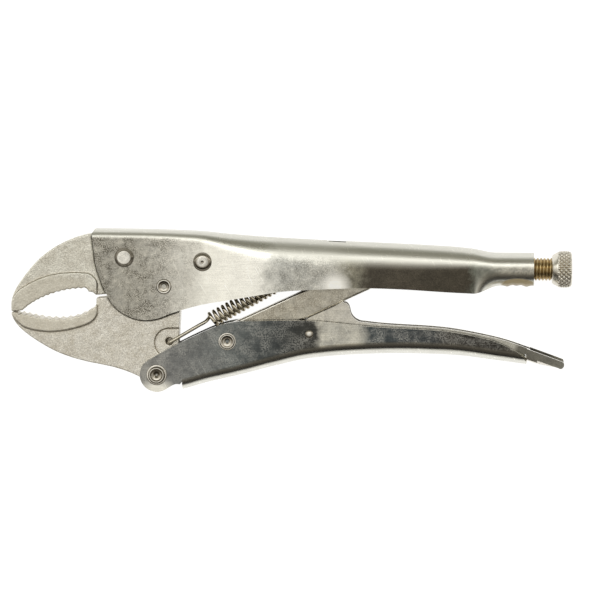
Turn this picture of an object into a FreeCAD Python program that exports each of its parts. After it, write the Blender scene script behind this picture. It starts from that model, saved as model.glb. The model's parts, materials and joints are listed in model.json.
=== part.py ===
import FreeCAD, Part
import Sketcher
import math
import os

# Locking pliers, 250 mm class, closed and locked, lying on their side.
# X runs from the jaws to the adjusting knob, Y from the lower handle to the upper
# handle, Z is the thickness. Every outline is drawn about the jaw pivot, at
# (0, 0) in the tool's middle plane, and "seat" then moves each piece so that the
# tool lies on Z = 0 with its box centred on the origin.

Vector = FreeCAD.Vector
doc = FreeCAD.newDocument("locking_pliers")

SIZES = {
    # where the assembly's origin lies, seen from the jaw pivot
    "origin_x": 55.65, "origin_y": -10.866, "origin_z": 8.8,
    # pivots of the linkage
    "hinge_x": -3.34, "hinge_y": -39.16,
    "link_x": 27.9, "link_y": -24.16,
    "lever_x": 64.1, "lever_y": -20.7,
    "front_rivet_x": -17.5, "front_rivet_y": 12.8,
    "rear_rivet_x": 17.1, "rear_rivet_y": 11.0,
    "spring_hole_x": 1.9, "spring_hole_y": -24.6,
    "screw_y": 7.8, "screw_tip_x": 98.4,
    # pressed sheet and jaw plates
    "sheet": 2.4, "head_half": 7.1, "grip_half": 8.8,
    "fixed_plate": 9.2, "moving_plate": 8.8, "band_plate": 11.2, "link_plate": 7.0,
    "recess_depth": 1.2, "spring_hole": 3.2, "spring_hole_depth": 6.2,
    # adjusting screw, its nose tube and knob
    "thread": 10.0, "bore": 10.1, "tube": 14.6, "tube_start": 140.0, "tube_end": 162.6,
    "knob": 16.2, "knob_start": 170.5, "knob_end": 179.3, "spindle": 7.0, "spindle_bore": 7.1,
    "seam": 0.6,
    # rivet shanks and the holes that turn on them
    "fixed_shank": 6.0, "jaw_shank": 5.8, "jaw_bore": 5.9, "hinge_shank": 6.0, "hinge_bore": 6.1,
    "link_shank": 5.6, "link_bore": 5.7, "pin_shank": 3.0, "pin_bore": 3.1,
    # release lever
    "lever_sheet": 1.5, "lever_half": 4.3, "tail_half": 7.2,
    # spring
    "wire": 1.2, "coil": 6.5, "coil_length": 53.0, "coil_slope": 28.7,
}

sheet = doc.addObject("Spreadsheet::Sheet", "Dims")
for row, (alias, value) in enumerate(SIZES.items(), start=1):
    sheet.set("A%d" % row, alias)
    sheet.set("B%d" % row, str(value))
    sheet.setAlias("B%d" % row, alias)
doc.recompute()

PIECES = []
ROUND = 0.5523          # how far a cubic curve leans towards its corner to follow an ellipse


def dim(alias):
    return float(sheet.get(alias))


def bind(target, path, expression):
    target.setExpression(path, expression)


def new_body(name, x="0", y="0"):
    """A body whose own origin is at (x, y) from the jaw pivot, seated in the assembly."""
    body = doc.addObject("PartDesign::Body", name)
    body.Label = name
    bind(body, "Placement.Base.x", "(%s) - Dims.origin_x" % x)
    bind(body, "Placement.Base.y", "(%s) - Dims.origin_y" % y)
    bind(body, "Placement.Base.z", "Dims.origin_z")
    PIECES.append(body)
    return body


def new_sketch(body, name, role, offset=None):
    plane = next(f for f in body.Origin.OriginFeatures if f.Role == role)
    sketch = body.newObject("Sketcher::SketchObject", name)
    sketch.AttachmentSupport = [(plane, "")]
    sketch.MapMode = "FlatFace"
    if offset is not None:
        bind(sketch, "AttachmentOffset.Base.z", offset)
    return sketch


def arc(via, end):
    return ("arc", [via, end])


def curve(*points):
    return ("curve", list(points))


def rounded(corner, end):
    """A quarter of an ellipse that turns at the given corner."""
    return ("rounded", [corner, end])


def draw(sketch, start, *steps):
    """Closes a loop of steps. A bare point is a straight line to it."""
    first = Vector(start[0], start[1], 0)
    here = first
    for step in list(steps) + [start]:
        kind, points = step if isinstance(step[0], str) else ("line", [step])
        points = [Vector(x, y, 0) for x, y in points]
        if (points[-1] - here).Length < 1e-6:
            continue
        if kind == "line":
            edge = Part.LineSegment(here, points[0])
        elif kind == "arc":
            edge = Part.Arc(here, points[0], points[1])
        elif kind == "curve":
            edge = Part.BSplineCurve()
            edge.interpolate([here] + points)
        else:
            corner, end = points
            bend = Part.BezierCurve()
            bend.setPoles([here, here + (corner - here) * ROUND, end + (corner - end) * ROUND, end])
            edge = bend.toBSpline()
        sketch.addGeometry(edge, False)
        here = points[-1]
    return sketch


def pad(body, name, sketch, length, both_ways=True, reverse=False):
    feature = body.newObject("PartDesign::Pad", name)
    feature.Profile = sketch
    feature.Midplane = both_ways
    feature.Reversed = reverse
    bind(feature, "Length", length)
    return feature


def cut(body, name, sketch, length, both_ways=True, reverse=False):
    """A pocket that must take material away."""
    doc.recompute()
    before = body.Shape.Volume
    feature = body.newObject("PartDesign::Pocket", name)
    feature.Profile = sketch
    feature.Midplane = both_ways
    feature.Reversed = reverse
    bind(feature, "Length", length)
    doc.recompute()
    if not body.Shape.Volume < before - 1e-3:
        raise RuntimeError("%s cuts nothing" % name)
    return feature


def drill(body, name, x, y, diameter):
    """A round hole through the whole thickness, its place and size held by the sheet."""
    sketch = new_sketch(body, name + "_circle", "XY_Plane")
    sketch.addGeometry(Part.Circle(Vector(dim(x), dim(y), 0), Vector(0, 0, 1), dim(diameter) / 2), False)
    sketch.addConstraint(Sketcher.Constraint("DistanceX", -1, 1, 0, 3, dim(x)))
    sketch.addConstraint(Sketcher.Constraint("DistanceY", -1, 1, 0, 3, dim(y)))
    sketch.addConstraint(Sketcher.Constraint("Diameter", 0, dim(diameter)))
    bind(sketch, "Constraints[0]", "Dims." + x)
    bind(sketch, "Constraints[1]", "Dims." + y)
    bind(sketch, "Constraints[2]", "Dims." + diameter)
    return cut(body, name, sketch, "3 * Dims.origin_z")


def turned(body, name, role, axis, *profile):
    """A solid of revolution from a closed half profile."""
    sketch = new_sketch(body, name + "_profile", role)
    draw(sketch, *profile)
    feature = body.newObject("PartDesign::Revolution", name)
    feature.Profile = sketch
    feature.ReferenceAxis = (sketch, [axis])
    feature.Angle = 360
    return feature


def channel_section(body, name, station, mouth, inset=0.0):
    """One section of a pressed channel, (x, crown height, half width, corner width, corner depth),
    drawn across the tool. mouth is a height beyond the channel's open side."""
    x, crown, half, wide, deep = station
    side = 1 if crown > mouth else -1
    crown = crown - side * inset
    half = half - inset
    wide = max(wide - inset * INNER_ROUND, 1.0)
    deep = max(deep - inset * INNER_ROUND, 1.0)
    shoulder = crown - side * deep
    flat = half - wide
    sketch = new_sketch(body, name, "YZ_Plane", "%s mm" % x)
    return draw(sketch, (mouth, -half), (shoulder, -half), rounded((crown, -half), (crown, -flat)),
                (crown, flat), rounded((crown, half), (shoulder, half)), (mouth, half))


def smooth(table, x):
    """A row of a station table at any x, without overshoot between the rows given."""
    def slope(i, k):
        if i in (0, len(table) - 1):
            return 0.0
        before = (table[i][k] - table[i - 1][k]) / (table[i][0] - table[i - 1][0])
        after = (table[i + 1][k] - table[i][k]) / (table[i + 1][0] - table[i][0])
        return 0.0 if before * after <= 0 else 2 * before * after / (before + after)

    i = max(n for n in range(len(table) - 1) if table[n][0] <= x or n == 0)
    low, high = table[i], table[i + 1]
    span = high[0] - low[0]
    t = (x - low[0]) / span
    row = [x]
    for k in range(1, len(low)):
        row.append(low[k] * (1 + 2 * t) * (1 - t) ** 2 + high[k] * t * t * (3 - 2 * t)
                   + span * (slope(i, k) * t * (1 - t) ** 2 - slope(i + 1, k) * t * t * (1 - t)))
    return row


def loft(body, name, kind, table, mouth, inset=0.0):
    """Sections about SPACING apart, along the whole of a station table."""
    first, last = table[0][0], table[-1][0]
    steps = round((last - first) / SPACING)
    stations = [smooth(table, first + (last - first) * n / steps) for n in range(steps + 1)]
    sketches = [channel_section(body, "%s_section_%d" % (name, i), station, mouth, inset)
                for i, station in enumerate(stations)]
    feature = body.newObject("PartDesign::" + kind, name)
    feature.Profile = sketches[0]
    feature.Sections = sketches[1:]
    feature.Ruled = False
    return feature


def along(start, direction, distance, aside=0.0):
    """A point some way along a direction (in degrees) from a start, and some way to its left."""
    turn = math.radians(direction)
    return (start[0] + distance * math.cos(turn) - aside * math.sin(turn),
            start[1] + distance * math.sin(turn) + aside * math.cos(turn))


def cubic(p0, p1, p2, p3, t):
    weights = ((1 - t) ** 3, 3 * t * (1 - t) ** 2, 3 * t * t * (1 - t), t ** 3)
    return tuple(sum(w * p[i] for w, p in zip(weights, (p0, p1, p2, p3))) for i in (0, 1))


def toothed(poles, count, depth):
    """Saw teeth cut across a smooth bite line: a crest, then a root, count times."""
    points = []
    for i in range(count):
        crest = cubic(*poles, i / count)
        root = cubic(*poles, (i + 0.5) / count)
        points += [crest, (root[0], root[1] + depth)]
    return points + [cubic(*poles, 1.0)]


# ------------------------------------------------------------------ upper handle
# Stations along the handle: x, crown height, half width, corner width, corner depth.
UPPER = [
    (-34.0, 25.0, 7.1, 4.2, 4.2),
    (-10.0, 24.8, 7.1, 4.2, 4.2),
    (14.0, 24.1, 7.1, 4.6, 5.0),
    (30.0, 22.8, 8.0, 7.0, 9.0),
    (46.0, 21.6, 8.86, 8.2, 13.0),
    (75.0, 20.1, 8.86, 8.2, 13.5),
    (104.0, 18.9, 8.86, 8.2, 13.0),
    (128.0, 17.6, 8.6, 8.0, 11.0),
    (140.0, 16.3, 7.9, 7.4, 8.6),
    (150.0, 15.1, 7.3, 7.0, 7.3),
]
SPACING = 10.0          # between the sections of a pressed handle
INNER_ROUND = 0.8       # how much of the sheet's thickness a bend loses on its inside
BELOW = -60.0
ABOVE = 60.0


def upper_handle():
    """A pressed sheet channel, open downward, whose rear end closes into the screw's tube."""
    body = new_body("upper_handle")
    loft(body, "handle_outside", "AdditiveLoft", UPPER, BELOW)
    tube = new_sketch(body, "tube_circle", "YZ_Plane", "Dims.tube_start")
    tube.addGeometry(Part.Circle(Vector(dim("screw_y"), 0, 0), Vector(0, 0, 1), dim("tube") / 2), False)
    pad(body, "nose_tube", tube, "Dims.tube_end - Dims.tube_start", both_ways=False)
    edge = new_sketch(body, "lower_edge", "XY_Plane")
    draw(edge, (-31.9, 23.2),
         curve((-30.1, 9.6), (-27.9, 2.4), (-25.2, -3.9), (-22.0, -8.8), (-16.6, -12.8), (-9.9, -14.8)),
         curve((-3.2, -14.2), (3.6, -11.7), (15.8, -8.2), (34.1, -4.9), (52.1, -1.9), (66.0, -1.0),
               (86.5, -0.2)),
         curve((104.0, -0.6), (124.0, -1.8), (136.0, -2.4), (142.0, -1.5), (147.5, 0.3)),
         (175.0, 0.3), (175.0, BELOW - 5), (-60.0, BELOW - 5), (-60.0, 40.0), (-25.0, 40.0), (-29.2, 25.0))
    cut(body, "trim_to_edge", edge, "80 mm")
    for name, side, reverse in (("near_side", 1, True), ("far_side", -1, False)):
        land = new_sketch(body, name + "_outline", "XY_Plane", "%d * Dims.grip_half" % side)
        draw(land, (34.0, -10.0), (126.0, -10.0), (126.0, 24.0), (34.0, 24.0))
        cut(body, name + "_flat", land, "1 mm", both_ways=False, reverse=reverse)
    inside = UPPER[:-2] + [(142.0, 16.0, 7.7, 7.2, 8.2)]
    loft(body, "handle_inside", "SubtractiveLoft", inside, BELOW, dim("sheet"))
    bore = new_sketch(body, "bore_circle", "YZ_Plane", "Dims.tube_end + 1")
    bore.addGeometry(Part.Circle(Vector(dim("screw_y"), 0, 0), Vector(0, 0, 1), dim("bore") / 2), False)
    cut(body, "screw_bore", bore, "Dims.tube_end - Dims.tube_start + 2", both_ways=False)
    seam = new_sketch(body, "seam_slot", "XZ_Plane")
    gap = dim("seam") / 2
    draw(seam, (141.0, -gap), (170.0, -gap), (170.0, gap), (141.0, gap))
    cut(body, "tube_seam", seam, "4 mm", both_ways=True)
    slot = new_sketch(body, "tab_window", "XY_Plane")
    draw(slot, (71.5, 16.0), (80.0, 16.0), (80.0, 24.0), (71.5, 24.0))
    cut(body, "spring_tab_window", slot, "5 mm")
    tab = new_sketch(body, "tab_outline", "XY_Plane")
    draw(tab, (68.5, 19.8), (72.0, 19.9), (77.0, 12.9), (75.2, 11.9), (71.0, 17.4), (68.5, 17.9))
    pad(body, "spring_tab", tab, "4.6 mm")
    drill(body, "front_rivet_hole", "front_rivet_x", "front_rivet_y", "fixed_shank")
    drill(body, "rear_rivet_hole", "rear_rivet_x", "rear_rivet_y", "fixed_shank")
    pivot = new_sketch(body, "jaw_pivot_circle", "XY_Plane")
    pivot.addGeometry(Part.Circle(Vector(0, 0, 0), Vector(0, 0, 1), dim("jaw_shank") / 2), False)
    cut(body, "jaw_pivot_hole", pivot, "3 * Dims.origin_z")
    return body


# ------------------------------------------------------------------ jaws
FIXED_BITE = ((-62.8, -11.0), (-56.5, -5.2), (-45.0, -1.0), (-34.3, -1.2))
MOVING_BITE = ((-30.3, -8.4), (-42.0, -18.5), (-57.0, -13.2), (-65.6, -11.8))
LOBE = 9.0              # radius of the moving jaw about its pivot
LOBE_ROOM = 9.7         # radius of the hollow in the fixed jaw that it turns in


def on_circle(radius, degrees, centre=(0.0, 0.0)):
    turn = math.radians(degrees)
    return (centre[0] + radius * math.cos(turn), centre[1] + radius * math.sin(turn))


def fixed_jaw():
    """A cast plate riveted between the upper handle's walls, with a raised band of teeth."""
    body = new_body("fixed_jaw")
    bite = toothed(FIXED_BITE, 13, 0.55)
    corner = [(-33.4, -2.6), (-31.6, -2.8), (-30.1, -4.1)]
    plate = new_sketch(body, "plate_outline", "XY_Plane")
    draw(plate, (-68.0, -11.4), (-68.0, -7.9),
         curve((-67.2, -4.4), (-65.1, -0.1), (-61.4, 5.1), (-56.5, 10.8), (-49.8, 16.2), (-43.0, 19.8),
               (-36.1, 22.2), (-32.3, 23.0)),
         (-32.1, 20.2), (-5.0, 20.0), (14.0, 18.8), (23.6, 16.0), (23.6, 4.9), on_circle(LOBE_ROOM, 30),
         arc(on_circle(LOBE_ROOM, 90), on_circle(LOBE_ROOM, 194)), *reversed(bite + corner))
    pad(body, "jaw_plate", plate, "Dims.fixed_plate")
    band = new_sketch(body, "band_outline", "XY_Plane")
    draw(band, (-67.6, -11.4), (-67.6, -8.0),
         curve((-67.1, -6.1), (-65.3, -3.0), (-60.8, 0.2), (-56.3, 2.5), (-49.6, 4.7), (-42.9, 5.6),
               (-35.5, 5.6)),
         curve((-32.6, 4.9), (-30.6, 3.0), (-29.8, 0.2)), (-29.8, -3.6), *reversed(bite + corner))
    pad(body, "tooth_band", band, "Dims.band_plate")
    drill(body, "front_rivet_hole", "front_rivet_x", "front_rivet_y", "fixed_shank")
    drill(body, "rear_rivet_hole", "rear_rivet_x", "rear_rivet_y", "fixed_shank")
    return body


def lower_jaw():
    """A cast plate that turns on the jaw pivot, with a raised band, a lobe and the spring's hole."""
    body = new_body("lower_jaw")
    hinge = (dim("hinge_x"), dim("hinge_y"))
    ear = 7.0
    bite = toothed(MOVING_BITE, 12, -0.95)
    plate = new_sketch(body, "plate_outline", "XY_Plane")
    draw(plate, (-67.9, -11.8), (-67.9, -12.9),
         curve((-66.4, -16.1), (-63.4, -19.5), (-56.5, -24.6), (-49.6, -28.6), (-40.6, -32.1), (-31.6, -34.3),
               (-24.9, -35.6), (-18.0, -37.5), on_circle(ear, 195, hinge)),
         arc(on_circle(ear, 270, hinge), on_circle(ear, 0, hinge)),
         (5.9, -33.0), (6.25, -25.3), (6.9, -10.8), on_circle(LOBE, -26),
         arc(on_circle(LOBE, 90), on_circle(LOBE, 200)), (-30.1, -5.5), *bite)
    pad(body, "jaw_plate", plate, "Dims.moving_plate")
    band = new_sketch(body, "band_outline", "XY_Plane")
    draw(band, bite[0], *(bite[1:] + [(-67.5, -11.8), (-67.5, -13.4)]),
         curve((-65.0, -16.0), (-62.2, -18.2), (-58.0, -19.5), (-52.1, -20.2), (-47.7, -20.1), (-43.3, -19.5),
               (-37.4, -18.0), (-33.0, -16.2), (-30.6, -14.0), (-29.8, -11.5)), (-29.8, -8.4))
    pad(body, "tooth_band", band, "Dims.band_plate")
    pivot = new_sketch(body, "jaw_pivot_circle", "XY_Plane")
    pivot.addGeometry(Part.Circle(Vector(0, 0, 0), Vector(0, 0, 1), dim("jaw_bore") / 2), False)
    cut(body, "jaw_pivot_bore", pivot, "3 * Dims.origin_z")
    drill(body, "hinge_bore", "hinge_x", "hinge_y", "hinge_bore")
    recess = new_sketch(body, "recess_outline", "XY_Plane", "Dims.moving_plate / 2")
    draw(recess, (2.0, -18.6), arc((-4.6, -25.2), (2.0, -31.8)), (8.0, -31.8), (8.0, -18.6))
    cut(body, "spring_recess", recess, "Dims.recess_depth", both_ways=False)
    hole = new_sketch(body, "spring_hole_circle", "XY_Plane", "Dims.moving_plate / 2")
    middle = Vector(dim("spring_hole_x"), dim("spring_hole_y"), 0)
    hole.addGeometry(Part.Circle(middle, Vector(0, 0, 1), dim("spring_hole") / 2), False)
    cut(body, "spring_hole", hole, "Dims.spring_hole_depth", both_ways=False)
    return body


# ------------------------------------------------------------------ lower handle
LOWER = [
    (3.0, -46.4, 7.1, 5.0, 5.5),
    (20.0, -42.4, 7.1, 5.0, 5.5),
    (34.0, -39.1, 7.2, 5.0, 5.5),
    (48.0, -35.4, 7.4, 5.2, 5.8),
    (65.0, -31.7, 7.7, 5.6, 6.0),
    (85.0, -30.0, 7.9, 6.0, 6.2),
    (104.0, -29.4, 8.0, 6.2, 6.4),
    (125.0, -29.9, 8.0, 6.2, 6.4),
    (150.0, -32.7, 7.8, 5.8, 6.0),
    (161.0, -33.9, 7.6, 5.6, 5.8),
]


def lower_handle():
    """A pressed sheet channel, open upward, with two ears that straddle the moving jaw."""
    body = new_body("lower_handle")
    hinge = (dim("hinge_x"), dim("hinge_y"))
    ear = 7.5
    loft(body, "handle_outside", "AdditiveLoft", LOWER, ABOVE)
    rim = new_sketch(body, "upper_edge", "XY_Plane")
    draw(rim, (-20.0, -23.0), (2.0, -27.4), (6.3, -25.3),
         curve((14.2, -21.4), (24.0, -17.2), (31.9, -15.4), (42.4, -15.0), (60.5, -14.7), (71.7, -15.3)),
         curve((92.0, -17.3), (104.0, -17.9), (124.7, -19.2), (137.3, -21.4), (145.7, -23.6), (152.0, -26.3)),
         curve((156.0, -28.7), (158.2, -31.2), (158.8, -33.0)), (158.8, -50.0), (175.0, -50.0),
         (175.0, ABOVE + 5), (-20.0, ABOVE + 5))
    cut(body, "trim_to_rim", rim, "80 mm")
    notch = new_sketch(body, "notch_outline", "XY_Plane")
    draw(notch, (5.2, -55.0), (5.2, -43.3), curve((6.4, -43.6), (7.3, -44.3), (7.9, -45.4)), (7.9, -55.0))
    cut(body, "front_notch", notch, "80 mm")
    front = new_sketch(body, "front_outline", "XY_Plane")
    draw(front, (-10.0, -60.0), (5.3, -60.0), (5.3, -20.0), (-10.0, -20.0))
    cut(body, "front_trim", front, "80 mm")
    loft(body, "handle_inside", "SubtractiveLoft", LOWER, ABOVE, dim("sheet"))
    gap = new_sketch(body, "ear_gap_outline", "XY_Plane")
    draw(gap, (0.0, -60.0), (8.3, -60.0), (8.3, -20.0), (0.0, -20.0))
    cut(body, "ear_gap", gap, "2 * (Dims.head_half - Dims.sheet)")
    for side, reverse in ((1, False), (-1, True)):
        ears = new_sketch(body, "ear_outline_%d" % (side + 2), "XY_Plane",
                          "%d * (Dims.head_half - Dims.sheet)" % side)
        draw(ears, on_circle(ear, 255, hinge), arc(on_circle(ear, 190, hinge), on_circle(ear, 130, hinge)),
             curve((-4.6, -31.3), (-1.5, -29.4), (2.0, -27.5)), (6.3, -25.3), (12.0, -22.4), (12.0, -38.5),
             (8.2, -40.6), curve((6.8, -43.4), (5.1, -43.2), (2.8, -44.2), (0.4, -45.7)),
             curve((-1.2, -46.4), (-3.2, -46.8), on_circle(ear, 255, hinge)))
        pad(body, "ear_%d" % (side + 2), ears, "Dims.sheet", both_ways=False, reverse=reverse)
    drill(body, "hinge_hole", "hinge_x", "hinge_y", "hinge_shank")
    drill(body, "link_hole", "link_x", "link_y", "link_shank")
    drill(body, "lever_hole", "lever_x", "lever_y", "pin_shank")
    return body


# ------------------------------------------------------------------ toggle link and release lever
LINK_TO_SCREW = 75.0    # from the link's pivot to where the screw's tip would meet it
LINK_DIRECTION = 24.8   # degrees above X
LINK_GAP = 3.0          # the toggle loop is open here


def toggle_link():
    """A flat bar from the lower handle's pivot to the adjusting screw's tip."""
    body = new_body("toggle_link")
    start = (dim("link_x"), dim("link_y"))
    upper, lower, nose = 6.3, -5.4, 5.85
    tip = LINK_TO_SCREW - LINK_GAP
    middle = (upper + lower) / 2

    def at(distance, aside):
        return along(start, LINK_DIRECTION, distance, aside)

    outline = new_sketch(body, "bar_outline", "XY_Plane")
    draw(outline, at(0, lower), at(tip - nose, lower), arc(at(tip, middle), at(tip - nose, upper)),
         at(0, upper), arc(at(-nose, middle), at(0, lower)))
    pad(body, "bar", outline, "Dims.link_plate")
    drill(body, "link_bore", "link_x", "link_y", "link_bore")
    doc.recompute()
    bar = body.Tip
    rims = ["Edge%d" % i for i, edge in enumerate(bar.Shape.Edges, start=1)
            if abs(abs(edge.CenterOfMass.z) - dim("link_plate") / 2) < 1e-3 and edge.Length > 20]
    bevel = body.newObject("PartDesign::Chamfer", "bar_bevel")
    bevel.Base = (bar, rims)
    bevel.Size = 0.7
    return body


def release_lever():
    """A folded channel, open upward, pinned inside the lower handle, its tail flared behind it."""
    body = new_body("release_lever")
    side = new_sketch(body, "side_outline", "XY_Plane")
    draw(side, (58.5, -19.5), curve((64.4, -14.4), (70.3, -11.7), (76.2, -8.9), (78.2, -7.6)),
         curve((79.6, -7.1), (80.9, -7.9), (81.8, -10.1), (82.6, -12.6), (84.0, -14.2), (88.0, -15.6)),
         curve((104.0, -17.0), (124.7, -18.4), (137.3, -20.5), (152.0, -24.0), (159.8, -26.7), (171.6, -31.0),
               (175.6, -32.5)),
         curve((176.0, -34.0), (175.3, -35.2), (173.5, -35.1)),
         (163.7, -33.3), (159.7, -32.0), (159.3, -29.6), (156.5, -28.6),
         curve((140.0, -26.4), (120.0, -25.0), (100.0, -24.4), (80.0, -24.3), (64.0, -24.6)),
         curve((60.0, -24.4), (58.2, -22.6), (58.5, -19.5)))
    pad(body, "lever_solid", side, "2 * Dims.lever_half")
    tail = new_sketch(body, "tail_outline", "XY_Plane")
    draw(tail, (159.7, -26.7), (171.6, -31.0), (175.6, -32.5),
         curve((176.0, -34.0), (175.3, -35.2), (173.5, -35.1)), (163.7, -33.3), (159.7, -32.0))
    pad(body, "tail_solid", tail, "2 * Dims.tail_half")
    trough = new_sketch(body, "trough_outline", "XY_Plane")
    draw(trough, (50.0, -5.0), (50.0, -22.6), (64.0, -23.0),
         curve((80.0, -22.8), (100.0, -22.9), (120.0, -23.5), (140.0, -24.9), (156.0, -27.1), (160.4, -28.4)),
         (161.2, -30.8), (164.2, -31.8), (174.0, -33.5), (180.0, -34.2), (180.0, -5.0))
    cut(body, "lever_trough", trough, "2 * (Dims.lever_half - Dims.lever_sheet)")
    wide = new_sketch(body, "tail_trough_outline", "XY_Plane")
    draw(wide, (161.2, -20.0), (161.2, -30.8), (164.2, -31.8), (174.0, -33.5), (180.0, -34.2), (180.0, -20.0))
    cut(body, "tail_trough", wide, "2 * (Dims.tail_half - Dims.lever_sheet)")
    drill(body, "lever_bore", "lever_x", "lever_y", "pin_bore")
    return body


# ------------------------------------------------------------------ adjusting screw and knob
def adjusting_screw():
    body = new_body("adjusting_screw", y="Dims.screw_y")
    tip, end = dim("screw_tip_x"), dim("knob_start") - 0.1
    radius, spindle = dim("thread") / 2, dim("spindle") / 2
    turned(body, "threaded_rod", "XY_Plane", "H_Axis",
           (tip, 0.0), arc((tip + 0.5, 2.4), (tip + 2.2, 3.8)), (tip + 3.4, radius), (end, radius),
           (end, spindle), (dim("knob_end") - 1.9, spindle), (dim("knob_end") - 1.9, 0.0))
    return body


def adjusting_knob():
    body = new_body("adjusting_knob", y="Dims.screw_y")
    start, end = dim("knob_start"), dim("knob_end")
    radius, bore = dim("knob") / 2, dim("spindle_bore") / 2
    turned(body, "knob_solid", "XY_Plane", "H_Axis",
           (start, bore), (start, 6.4), (start + 0.8, 7.0), (start + 1.9, radius), (end - 1.0, radius),
           (end, radius - 1.3), (end, 0.0), (end - 1.7, 0.0), (end - 1.7, bore))
    return body


# ------------------------------------------------------------------ spring
def jaw_spring():
    """The jaw's return spring: one wire with a straight leg, and a close coil shown as its tube."""
    wire, coil = dim("wire") / 2, dim("coil") / 2
    length, slope = dim("coil_length"), dim("coil_slope")
    start = (22.2, -14.3)
    end = along(start, slope, length)
    hook = along(start, slope, length + 3.4)
    leg = [Vector(1.9, -24.6, -1.0), Vector(1.9, -24.6, 3.95), Vector(9.0, -20.4, 3.95),
           Vector(18.5, -14.9, 2.6), Vector(20.9, -11.9, 0.9)]
    axis = Vector(*on_circle(1.0, slope), 0)
    base = Vector(*start, 0)
    inside = Part.makeCylinder(coil - 2 * wire, length, base, axis)
    shape = Part.makeCylinder(coil, length, base, axis).cut(inside)
    for low, high in zip(leg, leg[1:]):
        shape = shape.fuse(Part.makeCylinder(wire, (high - low).Length, low, high - low))
        shape = shape.fuse(Part.makeSphere(wire, high))
    far_end = Vector(*along(start, slope, length - 2 * wire), 0)
    closing = Part.makeCylinder(coil - wire, 2 * wire, far_end, axis)
    tail = Part.makeCylinder(wire, 3.4, Vector(*end, 0), axis)
    shape = shape.fuse([closing, tail])
    spring = doc.addObject("Part::Feature", "jaw_spring")
    spring.Label = "jaw_spring"
    spring.Shape = shape
    spring.Placement = FreeCAD.Placement(Vector(-dim("origin_x"), -dim("origin_y"), dim("origin_z")),
                                         FreeCAD.Rotation())
    PIECES.append(spring)
    return spring


# ------------------------------------------------------------------ rivets and pins
def both_heads(*near):
    """A half profile that is the same at both ends, from the half at the near face."""
    far = [(r, -z) for r, z in reversed(near)]
    return [(0.0, near[0][1])] + list(near) + far + [(0.0, -near[0][1])]


def rivet(name, x, y, shank, face, *head):
    """head lists (radius, height above the face), from the axis outward."""
    body = new_body(name, x, y)
    near = [(r, face + height) for r, height in head] + [(shank / 2, face)]
    turned(body, name + "_solid", "XZ_Plane", "V_Axis", *both_heads(*near))
    return body


def rivets():
    face = dim("head_half")
    rivet("fixed_jaw_rivet_front", "Dims.front_rivet_x", "Dims.front_rivet_y", dim("fixed_shank"), face,
          (3.1, 1.6), (4.3, 0.4), (4.3, 0.0))
    rivet("fixed_jaw_rivet_rear", "Dims.rear_rivet_x", "Dims.rear_rivet_y", dim("fixed_shank"), 7.3,
          (0.8, 1.45), (2.2, 1.3), (3.4, 0.8), (4.2, 0.1), (4.2, 0.0))
    rivet("jaw_pivot_rivet", "0", "0", dim("jaw_shank"), face,
          (2.3, -0.3), (2.9, 0.6), (3.35, 0.35), (3.4, 0.0))
    rivet("handle_pivot_rivet", "Dims.hinge_x", "Dims.hinge_y", dim("hinge_shank"), face,
          (2.2, -0.1), (3.0, 1.65), (3.4, 1.65), (3.8, 0.55), (4.6, 0.3), (4.6, 0.0))
    rivet("link_pivot_rivet", "Dims.link_x", "Dims.link_y", dim("link_shank"), 7.15,
          (2.1, -0.2), (2.9, 0.7), (3.35, 0.7), (3.6, 0.3), (3.9, 0.2), (3.9, 0.0))
    rivet("release_lever_pin", "Dims.lever_x", "Dims.lever_y", dim("pin_shank"), 7.65,
          (0.6, 0.75), (1.3, 0.6), (1.9, 0.1), (1.9, 0.0))


def check(piece):
    if {"Invalid", "Error"} & set(piece.State):
        raise RuntimeError("%s failed: %s" % (piece.Name, piece.State))


def main():
    upper_handle()
    fixed_jaw()
    lower_jaw()
    lower_handle()
    toggle_link()
    release_lever()
    adjusting_screw()
    adjusting_knob()
    jaw_spring()
    rivets()
    doc.recompute()
    for thing in doc.Objects:
        check(thing)
    os.makedirs("parts", exist_ok=True)
    box = FreeCAD.BoundBox()
    for piece in PIECES:
        shape = piece.Shape
        if shape.isNull() or not shape.isValid():
            raise RuntimeError("%s has no valid shape" % piece.Label)
        box.add(shape.BoundBox)
        shape.exportStep("parts/%s.step" % piece.Label)
        print(piece.Label, len(shape.Solids), "solid", round(shape.Volume), "mm3")
    print("box", [round(v, 2) for v in (box.XMin, box.YMin, box.ZMin, box.XMax, box.YMax, box.ZMax)])


main()
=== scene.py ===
import json
import math

import bmesh
import bpy
from mathutils import kdtree, Matrix, noise, Vector


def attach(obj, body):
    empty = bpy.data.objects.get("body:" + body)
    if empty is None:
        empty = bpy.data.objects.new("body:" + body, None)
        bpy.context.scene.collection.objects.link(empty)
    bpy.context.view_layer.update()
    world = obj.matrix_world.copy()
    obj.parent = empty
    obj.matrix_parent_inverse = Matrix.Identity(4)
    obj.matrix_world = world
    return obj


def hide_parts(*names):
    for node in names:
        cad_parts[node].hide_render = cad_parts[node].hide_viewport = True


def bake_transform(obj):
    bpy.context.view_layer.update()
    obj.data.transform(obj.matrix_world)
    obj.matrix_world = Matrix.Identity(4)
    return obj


# Locking pliers, closed. The frame's own joints give the pivots. Places and sizes are in
# millimetres from the jaw pivot: X towards the knob, Y towards the upper handle, Z towards the
# camera, with Z = 0 in the tool's middle plane. Only the camera and the floor are in metres.

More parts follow.
